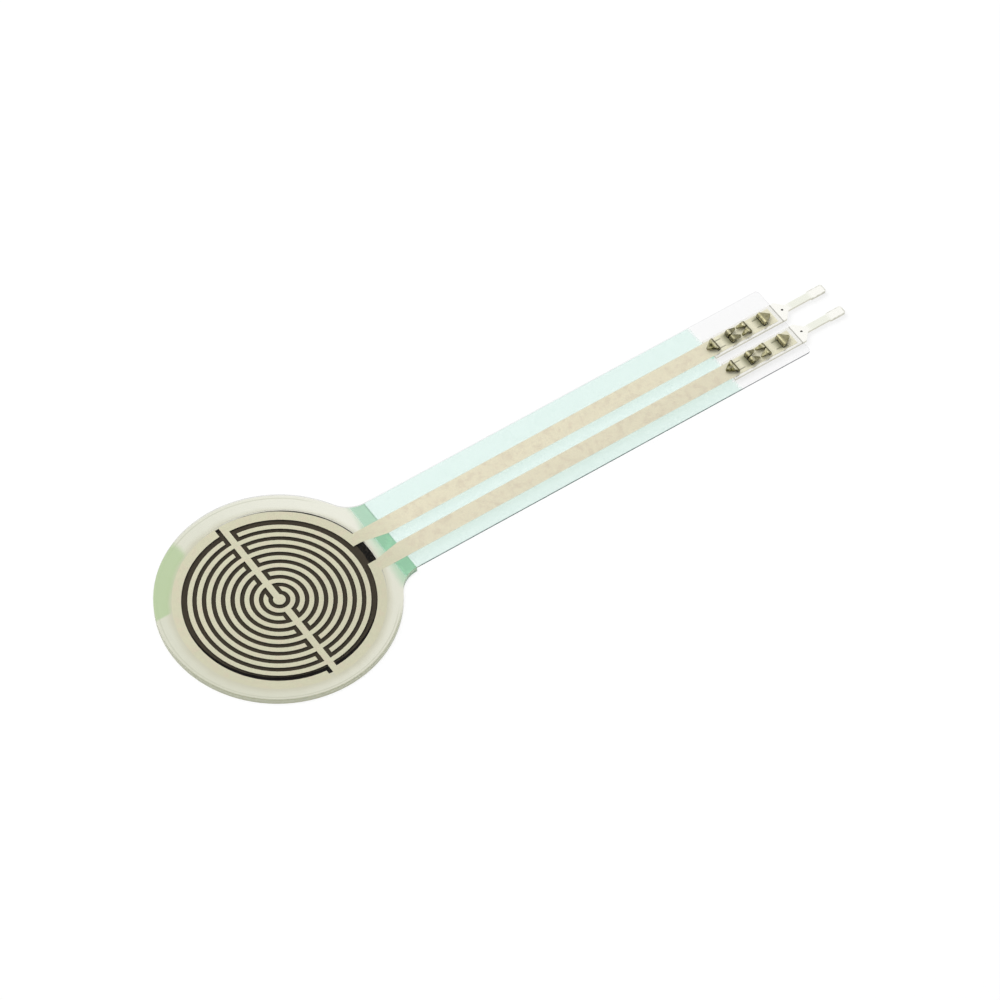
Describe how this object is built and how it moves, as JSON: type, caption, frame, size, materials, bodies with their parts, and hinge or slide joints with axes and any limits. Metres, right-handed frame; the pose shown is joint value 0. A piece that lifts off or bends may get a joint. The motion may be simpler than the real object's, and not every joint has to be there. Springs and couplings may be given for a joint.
{
  "type": "force sensing resistor",
  "caption": "Round thin-film force sensor with interlaced printed rings, a flat tail with printed traces, and crimped solder tabs.",
  "frame": {"origin": "centre of the printed rings, on the underside of the release liner", "axes": "+X along the tail towards the solder tabs, +Y towards trace A, +Z out of the side that is pressed"},
  "size_m": [0.0609, 0.0187, 0.0009],
  "materials": {
    "clear_film": "clear polyester film, glossy",
    "lower_film": "polyester film, milky over its adhesive",
    "silver_ink": "matt printed silver, beige under the film",
    "carbon_ink": "matt black printed ink",
    "spacer_glue": "clear adhesive, slightly milky",
    "rear_glue": "clear adhesive",
    "liner": "smooth coated paper, off-white",
    "aqua_overprint": "thin translucent aqua coating",
    "tinned_metal": "tin plated, bright with dull marks at the teeth"
  },
  "bodies": {
    "root": {"release_liner": "liner", "rear_adhesive": "rear_glue", "sensing_film": "lower_film", "sensing_ink": "carbon_ink", "spacer_adhesive": "spacer_glue", "electrode_a": "silver_ink", "electrode_b": "silver_ink", "electrode_segment": "silver_ink", "tail_dielectric": "aqua_overprint", "electrode_film": "clear_film", "solder_tab_a": "tinned_metal", "solder_tab_b": "tinned_metal"}
  },
  "joints": []
}
